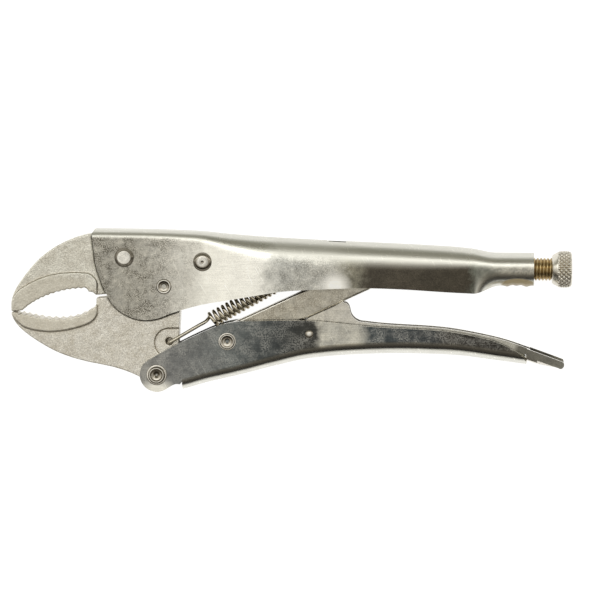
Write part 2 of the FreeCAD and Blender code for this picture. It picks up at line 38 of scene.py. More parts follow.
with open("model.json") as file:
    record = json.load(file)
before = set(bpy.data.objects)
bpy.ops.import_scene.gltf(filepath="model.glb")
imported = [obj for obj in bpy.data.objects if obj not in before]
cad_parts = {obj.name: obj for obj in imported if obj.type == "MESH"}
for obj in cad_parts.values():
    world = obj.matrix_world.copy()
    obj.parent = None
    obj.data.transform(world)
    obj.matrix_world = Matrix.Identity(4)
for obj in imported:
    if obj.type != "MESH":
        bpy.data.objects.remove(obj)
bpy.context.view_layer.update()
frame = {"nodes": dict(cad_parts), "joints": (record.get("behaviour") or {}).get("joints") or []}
JOINTS = {joint["name"]: joint for joint in frame["joints"]}
PIVOT = Vector(JOINTS["jaw_hinge"]["pos_m"])
MM = 0.001


def at(x, y, z=0.0):
    """A place given in millimetres from the jaw pivot."""
    return PIVOT + Vector((x, y, z)) * MM


def joint_place(name):
    """Where a joint's axis crosses the middle plane, in millimetres from the jaw pivot."""
    place = (Vector(JOINTS[name]["pos_m"]) - PIVOT) / MM
    return place.x, place.y


HINGE = joint_place("handle_hinge")
LINK = joint_place("link_hinge")
LEVER = joint_place("release_hinge")
SCREW_Y = joint_place("knob_turn")[1]


# ---------------------------------------------------------------- camera, floor and light
CAMERA_LEAN = math.radians(5.5)       # towards the upper handle
CAMERA_TURN = math.radians(3.0)       # towards the knob
CAMERA_DISTANCE = 1.6
CAMERA_CLIP = (0.01, 20.0)
VIEW_WIDTH = 0.264                    # what the picture is wide, at the tool
VIEW_SHIFT = (0.05997, -0.00585)      # from the jaw pivot to the middle of the picture
VIEW_LEVEL = 7.7                      # the height of that middle, in millimetres
FLOOR_REACH = 6
FLOOR_GREY = 0.32
FLOOR_GLOW = 0.92


def make_camera():
    """The camera, far off and almost straight overhead."""
    back = Vector((math.sin(CAMERA_TURN) * math.cos(CAMERA_LEAN), math.sin(CAMERA_LEAN),
                   math.cos(CAMERA_TURN) * math.cos(CAMERA_LEAN)))
    right = Vector((0, 1, 0)).cross(back).normalized()
    up = back.cross(right)
    data = bpy.data.cameras.new("camera")
    data.lens = data.sensor_width * CAMERA_DISTANCE / VIEW_WIDTH
    data.clip_start, data.clip_end = CAMERA_CLIP
    camera = bpy.data.objects.new("camera", data)
    bpy.context.scene.collection.objects.link(camera)
    turn = Matrix((right, up, back)).transposed().to_4x4()
    centre = at(0, 0, VIEW_LEVEL) + right * VIEW_SHIFT[0] + up * VIEW_SHIFT[1]
    camera.matrix_world = Matrix.Translation(centre + back * CAMERA_DISTANCE) @ turn
    bpy.context.scene.camera = camera


def make_floor():
    """The white floor that the tool lies on."""
    far = FLOOR_REACH
    mesh = bpy.data.meshes.new("floor")
    mesh.from_pydata([(-far, -far, 0), (far, -far, 0), (far, far, 0), (-far, far, 0)], [], [(0, 1, 2, 3)])
    floor = bpy.data.objects.new("floor", mesh)
    bpy.context.scene.collection.objects.link(floor)
    material = bpy.data.materials.new("floor_white")
    material.use_nodes = True
    shader = material.node_tree.nodes["Principled BSDF"]
    shader.inputs["Base Color"].default_value = (FLOOR_GREY, FLOOR_GREY, FLOOR_GREY, 1)
    shader.inputs["Roughness"].default_value = 0.7
    shader.inputs["Specular IOR Level"].default_value = 0.0
    shader.inputs["Emission Color"].default_value = (1, 1, 1, 1)
    shader.inputs["Emission Strength"].default_value = FLOOR_GLOW
    floor.data.materials.append(material)


def add(tree, kind, links=(), **settings):
    """A node with its settings; numbers for inputs are given as in_NAME, and links as (input, socket)."""
    node = tree.nodes.new(kind)
    for key, value in settings.items():
        if key.startswith("in_"):
            name = key[3:]
            node.inputs[int(name) if name.isdigit() else name].default_value = value
        else:
            setattr(node, key, value)
    for name, socket in links:
        tree.links.new(socket, node.inputs[name])
    return node


def ramp(tree, socket, stops, smooth=False):
    """A colour ramp from (place, colour or grey) stops."""
    node = add(tree, "ShaderNodeValToRGB", [(0, socket)])
    node.color_ramp.interpolation = "EASE" if smooth else "LINEAR"
    elements = node.color_ramp.elements
    while len(elements) < len(stops):
        elements.new(0.5)
    for element, (place, color) in zip(elements, stops):
        element.position = place
        element.color = (*color, 1) if isinstance(color, tuple) else (color, color, color, 1)
    return node.outputs[0]


def fit(tree, socket, low, high, new_low=0.0, new_high=1.0):
    """A value moved from one range into another, and kept inside it."""
    node = add(tree, "ShaderNodeMapRange", [(0, socket)])
    for i, value in enumerate((low, high, new_low, new_high), start=1):
        node.inputs[i].default_value = value
    return node.outputs[0]


# What the studio looks like from the tool, by the angle from straight overhead towards the
# upper handle's side: the white floor, a dark wall, a light ceiling with one brighter strip, a
# dim wall and the floor again.
STUDIO = [(-180, (0.9, 0.9, 0.88)), (-80, (0.75, 0.74, 0.7)), (-74, (0.022, 0.022, 0.02)),
          (-60, (0.03, 0.028, 0.024)), (-42, (0.09, 0.08, 0.065)), (-24, (0.42, 0.39, 0.33)),
          (-13, (0.98, 0.96, 0.90)), (8, (1.08, 1.06, 1.0)), (20, (1.2, 1.18, 1.1)),
          (25, (2.2, 2.2, 2.15)), (38, (2.3, 2.3, 2.25)), (43, (0.42, 0.41, 0.34)),
          (54, (0.23, 0.22, 0.17)), (72, (0.29, 0.285, 0.24)), (86, (0.60, 0.60, 0.55)),
          (95, (0.9, 0.9, 0.88)), (180, (0.9, 0.9, 0.88))]
# The ceiling overhead, by the angle towards the knob's side.
CEILING = [(-60, 0.9), (-24, 1.35), (-9, 1.4), (-5, 1.12), (-2, 1.0), (3, 0.78), (14, 0.74),
           (24, 0.85), (60, 0.9)]
CEILING_FADE = (0.30, 0.14)           # between these leans along Y it comes in


def angle_ramp(tree, across, up, stops):
    """A ramp by the angle of a direction in one plane."""
    turn = add(tree, "ShaderNodeMath", [(0, across), (1, up)], operation="ARCTAN2")
    place = fit(tree, turn.outputs[0], -math.pi, math.pi)
    top = max(max(color) if isinstance(color, tuple) else color for _, color in stops)
    scaled = [(0.5 + angle / 360, tuple(c / top for c in color) if isinstance(color, tuple) else color / top)
              for angle, color in stops]
    return ramp(tree, place, scaled), top


def make_light():
    """The studio, as the world's only light."""
    world = bpy.data.worlds.new("world")
    bpy.context.scene.world = world
    world.use_nodes = True
    tree = world.node_tree
    background = tree.nodes["Background"]
    way = add(tree, "ShaderNodeTexCoord").outputs["Generated"]
    split = add(tree, "ShaderNodeSeparateXYZ", [(0, way)])
    x, y, z = split.outputs
    walls, brightest = angle_ramp(tree, y, z, STUDIO)
    ceiling, _ = angle_ramp(tree, x, z, CEILING)
    level = add(tree, "ShaderNodeMath", [(0, y)], operation="ABSOLUTE").outputs[0]
    aside = fit(tree, level, *CEILING_FADE)
    both = add(tree, "ShaderNodeMix", [("Factor", aside), (6, walls), (7, ceiling)],
               data_type="RGBA", blend_type="MULTIPLY")
    tree.links.new(both.outputs[2], background.inputs["Color"])
    background.inputs["Strength"].default_value = brightest
    bpy.context.scene.view_settings.view_transform = "Standard"


# ---------------------------------------------------------------- materials
PAINTED_SHADE_TINT = (0.30, 0.22, 0.12)            # the colour of the painted shade in the hollows
HOLLOW = (0.44, 0.495)                # pointiness, from a deep hollow to none
RIM_FACING = (0.93, 0.995)            # how squarely a face looks along Z, from the painted rim light to the flat side
SPECK_EDGE = (0.47, 0.56)             # the noise between the inside of a speck and its outside


def metal(name, tones_and_painted_light, rim=None, roughness=(0.3, 0.3), clouds=None, grain=None, calm=((0, 1.0),),
          specks=None, patches_and_painted_highlights=(), bumps=(), scratches=0.0, painted_hollow_shade=0.0, blotch=3.0):
    """Plated steel. Whatever varies along the tool is given as (x, value) rows.

    The tone rows are the colours of the flat sides, with borders that wander by blotch; on the
    handles and on the lever's tail they hold painted reflections and painted shade. The rim colour
    is painted light on the turned edges, set by which way a face looks: a painted highlight where
    it is lighter than the sides, painted shade where it is darker. roughness is such rows, or a
    (low, high) pair. clouds and grain are (size, strength), and calm is how much of them shows.
    specks are (size, shade, rows of how many there are). The patches are (middle x, y, reach x, y,
    how soft, colour, share, metallic); on the handles the light ones are painted highlights. bumps
    are (size, height). scratches is how bright they are, and the hollows' shade is how strongly
    painted shade darkens the hollows."""
    material = bpy.data.materials.new(name)
    material.use_nodes = True
    tree = material.node_tree
    shader = tree.nodes["Principled BSDF"]
    shader.inputs["Metallic"].default_value = 1.0
    where = add(tree, "ShaderNodeTexCoord").outputs["Object"]
    mm = add(tree, "ShaderNodeMapping", [("Vector", where)])
    mm.inputs["Location"].default_value = -PIVOT / MM
    mm.inputs["Scale"].default_value = (1 / MM, 1 / MM, 1 / MM)
    mm = mm.outputs[0]

    def cloud(size, detail=4.0, contrast=0.18, coarse=0.6, stretch=None):
        """Soft noise from 0 to 1."""
        source = mm
        if stretch:
            source = add(tree, "ShaderNodeMapping", [("Vector", mm)], in_Scale=stretch).outputs[0]
        field = add(tree, "ShaderNodeTexNoise", [("Vector", source)], in_Scale=1.0 / size, in_Detail=detail,
                    in_Roughness=coarse)
        return fit(tree, field.outputs[0], 0.5 - contrast, 0.5 + contrast)

    def times(color, factor, low, high=1.0, share=None):
        """A colour times a shade that goes from low to high with a factor."""
        shade = ramp(tree, factor, [(0.0, low), (1.0, high)])
        node = add(tree, "ShaderNodeMix", [(6, color), (7, shade)], data_type="RGBA", blend_type="MULTIPLY",
                   in_Factor=1.0)
        if share:
            tree.links.new(share, node.inputs["Factor"])
        return node.outputs[2]

    along_x = add(tree, "ShaderNodeSeparateXYZ", [(0, mm)]).outputs[0]
    drift = fit(tree, cloud(9.0, 3.0), 0, 1, -blotch, blotch)
    place = add(tree, "ShaderNodeMath", [(0, along_x), (1, drift)], operation="ADD").outputs[0]
    first, last = tones_and_painted_light[0][0] - 1, tones_and_painted_light[-1][0] + 1

    def along(rows):
        """What a place along the tool has, from its rows."""
        stops = [((x - first) / (last - first), value) for x, value in rows]
        return ramp(tree, fit(tree, place, first, last), stops)

    color = along(tones_and_painted_light)
    rough = along(roughness) if isinstance(roughness[0], tuple) else fit(tree, cloud(6.0), 0, 1, *roughness)
    showing = along(calm)
    if clouds:
        size, strength = clouds
        clouded = (1 - strength, 1 - strength * 0.98, 1 - strength * 0.94)
        color = times(color, cloud(size, 6.0, 0.15, 0.7), clouded, share=showing)
    if grain:
        size, strength = grain
        color = times(color, cloud(size, 3.0, 0.2, 0.75), 1 - strength, 1.0 + strength * 0.35, showing)
    if specks:
        size, shade, places = specks
        dots = add(tree, "ShaderNodeTexNoise", [("Vector", mm)], in_Scale=1.0 / size, in_Detail=2.5)
        dots = fit(tree, dots.outputs[0], *SPECK_EDGE, 1.0, 0.0)
        where_thick = cloud(5.0, 3.0, 0.12)
        few = along(places)
        share = add(tree, "ShaderNodeMath", [(0, where_thick), (1, few)], operation="MULTIPLY").outputs[0]
        share = add(tree, "ShaderNodeMath", [(0, share), (1, dots)], operation="MULTIPLY").outputs[0]
        color = add(tree, "ShaderNodeMix", [("Factor", share), (6, color)], data_type="RGBA",
                    in_7=(*shade, 1)).outputs[2]
    # Painted light: faces that do not look squarely along Z take the rim colour, a painted highlight where it
    # is lighter than the sides and painted shade where it is darker.
    if rim:
        facing = add(tree, "ShaderNodeSeparateXYZ",
                     [(0, add(tree, "ShaderNodeNewGeometry").outputs["Normal"])]).outputs[2]
        facing = add(tree, "ShaderNodeMath", [(0, facing)], operation="ABSOLUTE").outputs[0]
        flat = fit(tree, facing, *RIM_FACING)
        color = add(tree, "ShaderNodeMix", [("Factor", flat), (7, color)], data_type="RGBA",
                    in_6=(*rim, 1)).outputs[2]
    # Oval patches of colour; on the handles the light ones are painted highlights.
    for x, y, reach_x, reach_y, soft, tone, share, metallic in patches_and_painted_highlights:
        near = add(tree, "ShaderNodeMapping", [("Vector", mm)])
        near.inputs["Location"].default_value = (-x / reach_x, -y / reach_y, 0)
        near.inputs["Scale"].default_value = (1 / reach_x, 1 / reach_y, 0)
        away = add(tree, "ShaderNodeVectorMath", [(0, near.outputs[0])], operation="LENGTH").outputs["Value"]
        inside = fit(tree, away, 1.0, 1.0 - soft, 0.0, share)
        color = add(tree, "ShaderNodeMix", [("Factor", inside), (6, color)], data_type="RGBA",
                    in_7=(*tone, 1)).outputs[2]
        if metallic < 1:
            tree.links.new(fit(tree, inside, 0.0, 1.0, 1.0, metallic), shader.inputs["Metallic"])
    # Painted shade: the hollows, found by pointiness, are darkened towards the shade tint.
    if painted_hollow_shade:
        point = add(tree, "ShaderNodeNewGeometry").outputs["Pointiness"]
        hollow = fit(tree, point, *HOLLOW)
        tint = ramp(tree, hollow, [(0.0, PAINTED_SHADE_TINT), (1.0, 1.0)])
        color = add(tree, "ShaderNodeMix", [(6, color), (7, tint)], data_type="RGBA", blend_type="MULTIPLY",
                    in_Factor=painted_hollow_shade).outputs[2]
    if scratches:
        fine = cloud(1.0, 2.0, 0.06, 0.5, (0.09, 2.4, 1.0))
        color = times(color, fine, 1.0, 1.0 + scratches)
        cross = add(tree, "ShaderNodeMapping", [("Vector", mm)], in_Rotation=(0, 0, math.radians(62)))
        cross = add(tree, "ShaderNodeMapping", [("Vector", cross.outputs[0])], in_Scale=(0.12, 1.9, 1.0))
        cross = add(tree, "ShaderNodeTexNoise", [("Vector", cross.outputs[0])], in_Scale=0.8, in_Detail=1.0)
        color = times(color, fit(tree, cross.outputs[0], 0.66, 0.72), 1.0, 1.0 + 2.5 * scratches)
    tree.links.new(color, shader.inputs["Base Color"])
    tree.links.new(rough, shader.inputs["Roughness"])
    normal = None
    for size, height in bumps:
        field = add(tree, "ShaderNodeTexNoise", [("Vector", mm)], in_Scale=1.0 / size, in_Detail=3.0)
        bump = add(tree, "ShaderNodeBump", [("Height", field.outputs[0])], in_Strength=1.0,
                   in_Distance=height * MM)
        if normal:
            tree.links.new(normal, bump.inputs["Normal"])
        normal = bump.outputs[0]
    if normal:
        tree.links.new(normal, shader.inputs["Normal"])
    return material


def make_materials():
    """The metals, by the kind of piece that has them."""
    return {
        "handle": metal(
            "handle_nickel",
            # Painted reflections: light over x 4 to 49, dark over x 83 to 139.
            [(-35, (0.66, 0.63, 0.55)), (-12, (0.66, 0.63, 0.55)), (4, (0.84, 0.81, 0.73)),
             (20, (1.0, 0.98, 0.9)), (42, (1.0, 0.98, 0.91)), (49, (0.80, 0.79, 0.73)),
             (72, (0.78, 0.76, 0.69)), (83, (0.34, 0.32, 0.25)), (90, (0.115, 0.10, 0.078)),
             (132, (0.11, 0.095, 0.072)), (139, (0.28, 0.29, 0.24)), (146, (0.60, 0.58, 0.50)),
             (164, (0.66, 0.63, 0.54))],
            # Painted light: the crown and turned edges take this one colour, lighter than the dark stretch of
            # the sides and darker than the light one.
            rim=(0.62, 0.61, 0.55),
            specks=(0.42, (0.10, 0.09, 0.07),
                    ((-35, 1.0), (-6, 1.0), (8, 0.5), (20, 0.05), (43, 0.05), (50, 0.6), (72, 0.6),
                     (84, 0.1), (165, 0.1))),
            calm=((-35, 1.0), (0, 0.9), (14, 0.35), (42, 0.3), (52, 1.0), (80, 1.0)),
            roughness=((-35, 0.34), (15, 0.34), (25, 0.26), (42, 0.26), (50, 0.36), (75, 0.36), (88, 0.28),
                       (164, 0.27)),
            clouds=(5.5, 0.34), grain=(0.5, 0.46), bumps=((0.6, 0.02), (3.0, 0.01)),
            # The first patch is a painted highlight; the second is a brown, duller patch on the tube's
            # underside.
            patches_and_painted_highlights=((75.5, 0.8, 8.0, 7.0, 0.7, (1.0, 0.98, 0.93), 1.0, 1.0),
                     (155.5, 1.5, 7.6, 2.9, 0.15, (0.46, 0.38, 0.23), 1.0, 0.2)),
            scratches=0.06, blotch=4.0),
        "low_handle": metal(
            "lower_handle_nickel",
            # Painted reflections: dark along most of it, with a light band over x 70 to 86.
            [(-12, (0.40, 0.39, 0.36)), (2, (0.27, 0.27, 0.26)), (30, (0.19, 0.205, 0.20)),
             (52, (0.065, 0.07, 0.07)), (66, (0.07, 0.068, 0.06)), (70, (0.72, 0.69, 0.60)),
             (86, (0.74, 0.71, 0.62)), (90, (0.10, 0.115, 0.12)), (118, (0.07, 0.075, 0.078)),
             (126, (0.045, 0.04, 0.034)), (145, (0.05, 0.045, 0.038)), (160, (0.12, 0.11, 0.09))],
            # Painted highlight: the turned edges are lighter than the dark sides.
            rim=(0.64, 0.63, 0.58),
            specks=(0.5, (0.55, 0.54, 0.50), ((-12, 0.3), (60, 0.3), (90, 0.45), (130, 0.45), (160, 0.2))),
            roughness=((-12, 0.26), (20, 0.20), (160, 0.15)),
            clouds=(4.5, 0.45), grain=(0.55, 0.25), bumps=((0.9, 0.012), (5.0, 0.03)),
            # Painted highlight on the ear's lower edge.
            patches_and_painted_highlights=((-3.0, -45.5, 9.0, 5.0, 0.7, (0.86, 0.84, 0.77), 1.0, 1.0),),
            scratches=0.12, blotch=2.0),
        "fixed_jaw": metal(
            "fixed_jaw_nickel", [(-70, (0.93, 0.90, 0.80)), (-30, (0.97, 0.94, 0.84))],
            roughness=(0.34, 0.46), clouds=(6.0, 0.10), grain=(0.45, 0.56),
            specks=(0.36, (0.36, 0.32, 0.25), ((-70, 0.55), (10, 0.55))),
            patches_and_painted_highlights=((-48.0, -8.5, 21.5, 14.0, 0.2, (0.62, 0.58, 0.49), 0.55, 1.0),),
            bumps=((0.45, 0.07), (1.6, 0.07)), painted_hollow_shade=0.9),
        "low_jaw": metal(
            "lower_jaw_nickel", [(-70, (0.92, 0.88, 0.79)), (-30, (1.0, 0.96, 0.87)), (8, (1.0, 0.96, 0.87))],
            roughness=(0.34, 0.46), clouds=(8.0, 0.10), grain=(0.45, 0.58),
            specks=(0.36, (0.50, 0.45, 0.36), ((-70, 0.75), (10, 0.6))),
            patches_and_painted_highlights=((-48.0, -8.5, 21.5, 14.5, 0.2, (0.66, 0.62, 0.52), 0.55, 1.0),),
            bumps=((0.45, 0.07), (1.6, 0.07)), painted_hollow_shade=0.9),
        # Painted highlight: the link's broken edges are lighter than its sides.
        "link": metal(
            "link_nickel", [(20, (0.66, 0.61, 0.50)), (100, (0.64, 0.61, 0.53))], rim=(0.8, 0.77, 0.7),
            specks=(0.5, (0.22, 0.19, 0.14), ((20, 0.7), (100, 0.7))),
            roughness=(0.26, 0.40), clouds=(4.0, 0.30), grain=(0.7, 0.3), bumps=((0.8, 0.03),),
            scratches=0.08),
        "lever": metal(
            # Painted shade: the tail's sides, from x 158 on, are darkened.
            "lever_nickel", [(55, (0.66, 0.62, 0.53)), (90, (0.74, 0.71, 0.64)), (154, (0.60, 0.58, 0.51)),
                             (158, (0.20, 0.19, 0.16)), (180, (0.30, 0.29, 0.25))],
            # Painted highlight: the lever's turned edges are lighter than its sides.
            rim=(0.78, 0.75, 0.68),
            roughness=(0.2, 0.34), clouds=(3.0, 0.25), grain=(0.6, 0.25), bumps=((0.8, 0.02),),
            scratches=0.08),
        "knob": metal(
            "knob_nickel", [(165, (0.80, 0.76, 0.67)), (182, (0.76, 0.72, 0.62))],
            roughness=(0.24, 0.34), clouds=(2.5, 0.15), grain=(0.4, 0.2), bumps=((0.5, 0.02),), painted_hollow_shade=0.9),
        "thread": metal(
            "screw_thread", [(95, (0.52, 0.40, 0.20)), (175, (0.62, 0.47, 0.24))],
            roughness=(0.24, 0.4), clouds=(1.2, 0.35), grain=(0.3, 0.3), bumps=((0.4, 0.02),), painted_hollow_shade=0.7),
        "spring": metal(
            "spring_steel", [(0, (0.74, 0.68, 0.56)), (18, (0.74, 0.68, 0.56)),
                             (21, (0.72, 0.65, 0.51)), (80, (0.64, 0.57, 0.44))],
            roughness=(0.12, 0.2), clouds=(1.5, 0.3), grain=(0.3, 0.3), bumps=((0.4, 0.01),)),
        # Painted shade: the rivets' turned edges are darkened round their heads.
        "rivet": metal(
            "rivet_steel", [(-20, (0.93, 0.90, 0.83)), (70, (0.90, 0.87, 0.80))], rim=(0.30, 0.27, 0.22),
            roughness=(0.15, 0.30), clouds=(1.6, 0.25), grain=(0.35, 0.25), bumps=((0.5, 0.02), (1.8, 0.05)),
            painted_hollow_shade=0.6),
    }


# ---------------------------------------------------------------- mesh tools
def mesh_piece(name, points, faces):
    """A piece from points in millimetres."""
    mesh = bpy.data.meshes.new(name)
    mesh.from_pydata([at(*point) for point in points], [], faces)
    piece = bpy.data.objects.new(name, mesh)
    bpy.context.scene.collection.objects.link(piece)
    return piece


def modify(piece, kind, **settings):
    """Adds a modifier with its settings."""
    modifier = piece.modifiers.new(kind.lower(), kind)
    for key, value in settings.items():
        setattr(modifier, key, value)
    return modifier


def settle(piece):
    """Applies a piece's modifiers."""
    bpy.context.view_layer.update()
    mesh = bpy.data.meshes.new_from_object(piece.evaluated_get(bpy.context.evaluated_depsgraph_get()))
    piece.modifiers.clear()
    piece.data = mesh


def outward(piece):
    """Merges doubled points and turns every face outward."""
    work = bmesh.new()
    work.from_mesh(piece.data)
    bmesh.ops.remove_doubles(work, verts=work.verts, dist=2e-6)
    bmesh.ops.recalc_face_normals(work, faces=work.faces)
    work.to_mesh(piece.data)
    work.free()


def smooth_faces(piece, bevel=0.0, angle=35):
    """Shades a piece smooth, and with a bevel also rounds its edges sharper than the angle."""
    for face in piece.data.polygons:
        face.use_smooth = True
    if bevel:
        modify(piece, "BEVEL", width=bevel * MM, segments=3, limit_method="ANGLE",
               angle_limit=math.radians(angle), use_clamp_overlap=True)
        modify(piece, "WEIGHTED_NORMAL", keep_sharp=False)


def belong(piece, material, slot, body, *nodes):
    """Gives a finished piece its metal, hides the CAD nodes it stands for and, given a body, hangs it on the
    body it rides on.
    """
    piece.data.materials.clear()
    piece.data.materials.append(material)
    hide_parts(*nodes)
    if body:
        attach(piece, body)
    return piece


def curve_through(points, step=0.8):
    """Points about a step apart on a smooth curve through the given ones."""
    spots = [Vector(point) for point in points]
    spots = [spots[0] * 2 - spots[1]] + spots + [spots[-1] * 2 - spots[-2]]
    path = []
    for a, b, c, d in zip(spots, spots[1:], spots[2:], spots[3:]):
        knots = [0.0]
        for low, high in ((a, b), (b, c), (c, d)):
            knots.append(knots[-1] + math.sqrt((high - low).length))
        t0, t1, t2, t3 = knots
        count = max(1, round((c - b).length / step))
        for i in range(count):
            t = t1 + (t2 - t1) * i / count
            ab = a * ((t1 - t) / (t1 - t0)) + b * ((t - t0) / (t1 - t0))
            bc = b * ((t2 - t) / (t2 - t1)) + c * ((t - t1) / (t2 - t1))
            cd = c * ((t3 - t) / (t3 - t2)) + d * ((t - t2) / (t3 - t2))
            abc = ab * ((t2 - t) / (t2 - t0)) + bc * ((t - t0) / (t2 - t0))
            bcd = bc * ((t3 - t) / (t3 - t1)) + cd * ((t - t1) / (t3 - t1))
            path.append(abc * ((t2 - t) / (t2 - t1)) + bcd * ((t - t1) / (t2 - t1)))
    return path + [spots[-2]]


def height_on(path, x):
    """The height of a path that runs along X, at one x."""
    for low, high in zip(path, path[1:]):
        if min(low.x, high.x) <= x <= max(low.x, high.x) and abs(high.x - low.x) > 1e-9:
            return low.y + (high.y - low.y) * (x - low.x) / (high.x - low.x)
    return path[-1].y if x > path[-1].x else path[0].y


def on_circle(radius, degrees, centre=(0.0, 0.0)):
    """A point of a circle, by its direction from the centre."""
    turn = math.radians(degrees)
    return (centre[0] + radius * math.cos(turn), centre[1] + radius * math.sin(turn))


def station(table, x):
    """(crown, half width, corner width, corner depth) at x, without overshoot between the rows."""
    x = min(max(x, table[0][0]), table[-1][0])

    def slope(i, k):
        if i in (0, len(table) - 1):
            return 0.0
        before = (table[i][k] - table[i - 1][k]) / (table[i][0] - table[i - 1][0])
        after = (table[i + 1][k] - table[i][k]) / (table[i + 1][0] - table[i][0])
        return 0.0 if before * after <= 0 else 2 * before * after / (before + after)

    i = max(n for n in range(len(table) - 1) if table[n][0] <= x)
    low, high = table[i], table[i + 1]
    span = high[0] - low[0]
    t = (x - low[0]) / span
    return [low[k] * (1 + 2 * t) * (1 - t) ** 2 + high[k] * t * t * (3 - 2 * t)
            + span * (slope(i, k) * t * (1 - t) ** 2 - slope(i + 1, k) * t * t * (1 - t))
            for k in range(1, 5)]


# ---------------------------------------------------------------- pressed handles
CORNER_ROWS = 14
CROWN_ROWS = 4


def half_section(table, x, side, rim=None):
    """Half a channel's section at x, from its shoulder or rim to the middle of the crown."""
    crown, half, wide, deep = station(table, x)
    shoulder = crown - side * deep
    start = 0.0
    if rim is not None and side * (rim - shoulder) > 0:
        start = math.asin(min(0.98, side * (rim - shoulder) / deep))
    points = []
    for i in range(CORNER_ROWS + 1):
        turn = start + (math.pi / 2 - start) * i / CORNER_ROWS
        points.append((shoulder + side * deep * math.sin(turn), half - wide + wide * math.cos(turn)))
    flat = half - wide
    points += [(crown, flat * (1 - i / CROWN_ROWS)) for i in range(1, CROWN_ROWS + 1)]
    return points


def both_halves(points):
    """A whole section, from half of it."""
    return points + [(y, -z) for y, z in reversed(points[:-1])]


def side_panel(work, outline, planes, table, sign):
    """A flat-drawn side of a handle, cut at the planes and pushed out to the table's width."""
    patch = bmesh.new()
    patch.faces.new([patch.verts.new((x, y, 0)) for x, y in outline])
    for x in planes:
        geometry = patch.verts[:] + patch.edges[:] + patch.faces[:]
        bmesh.ops.bisect_plane(patch, geom=geometry, plane_co=(x, 0, 0), plane_no=(1, 0, 0), dist=1e-4)
    twins = {}
    for vertex in patch.verts:
        x, y, _ = vertex.co
        twins[vertex] = work.verts.new(at(x, y, sign * station(table, x)[1]))
    for face in patch.faces:
        work.faces.new([twins[vertex] for vertex in face.verts])
    patch.free()


# x, crown height, half width, corner width, corner depth
UPPER = [
    (-34.0, 25.0, 7.1, 4.2, 4.2), (-10.0, 24.8, 7.1, 4.2, 4.2), (14.0, 24.1, 7.1, 4.6, 5.0),
    (30.0, 22.8, 8.0, 7.0, 9.0), (46.0, 21.6, 8.8, 8.2, 13.0), (75.0, 20.1, 8.8, 8.2, 13.5),
    (104.0, 18.9, 8.7, 8.2, 13.0), (128.0, 17.6, 8.5, 8.0, 11.0), (140.0, 16.3, 7.9, 7.4, 8.6),
    (150.0, 15.1, 7.3, 7.0, 7.3),
]
CLOSING = (136.0, 148.0)      # where the open channel closes into the tube
CLOSING_STEP = 0.7
TUBE_END = 162.6
TUBE_RADIUS = 7.3
TUBE_GAP = 0.04               # what the seam leaves open on each side, in radians
WALL_ROWS = 10
SHEET = 2.2
SHEET_CREASE = 50             # degrees from which an edge of a handle is rounded
UPPER_BEVEL = 0.55

# The edge of its sides, from the front corner round the head and back to the tube.
HEAD_EDGE = [(-31.6, 20.8, 0), (-31.0, 16.0, 0), (-30.1, 9.6, 0), (-27.9, 2.4, 0), (-25.2, -3.9, 0),
             (-22.0, -8.8, 0), (-16.6, -12.8, 0), (-9.9, -14.8, 0), (-3.2, -14.2, 0), (3.6, -11.7, 0),
             (15.8, -8.2, 0), (34.1, -4.9, 0), (52.1, -1.9, 0), (66.0, -1.0, 0), (86.5, -0.2, 0),
             (104.0, -0.6, 0), (124.0, -1.8, 0), (136.0, -2.4, 0)]


FRONT_CORNER = (-31.9, 23.2)
FRONT_LEAN = (0.6, 0.132)     # how fast the front edge leans back, above and below its corner


def upper_front(y):
    """The slanted front edge of the upper handle."""
    above = y - FRONT_CORNER[1]
    return FRONT_CORNER[0] + (above * FRONT_LEAN[0] if above > 0 else -above * FRONT_LEAN[1])


SEAM = (149.0, 162.0)         # where the pinched seam runs
SEAM_TURN = (2.45, 0.69)      # where its strip starts round the tube and how wide it is, in radians
SEAM_LUMP = 0.5
SEAM_HOLE = (154.5, 2.86)     # the x and the turn of its small hole
SEAM_HOLE_DEPTH = 1.1
SEAM_HOLE_SPREAD = 0.42


def tube_bulge(x, turn):
    """The pinched seam under the tube, with its staked lumps and a small hole."""
    low = max(0.0, (turn - SEAM_TURN[0]) / SEAM_TURN[1])
    lumps = SEAM_LUMP * math.sin(1.05 * (x - 149.0)) * math.sin(0.45 * (x - 148.0)) + 0.05
    along = min(1.0, max(0.0, (x - SEAM[0]) / 2.0), max(0.0, (SEAM[1] - x) / 1.0))
    away = (x - SEAM_HOLE[0]) ** 2 + ((turn - SEAM_HOLE[1]) * TUBE_RADIUS) ** 2
    return low * lumps * along - SEAM_HOLE_DEPTH * math.exp(-away / SEAM_HOLE_SPREAD)


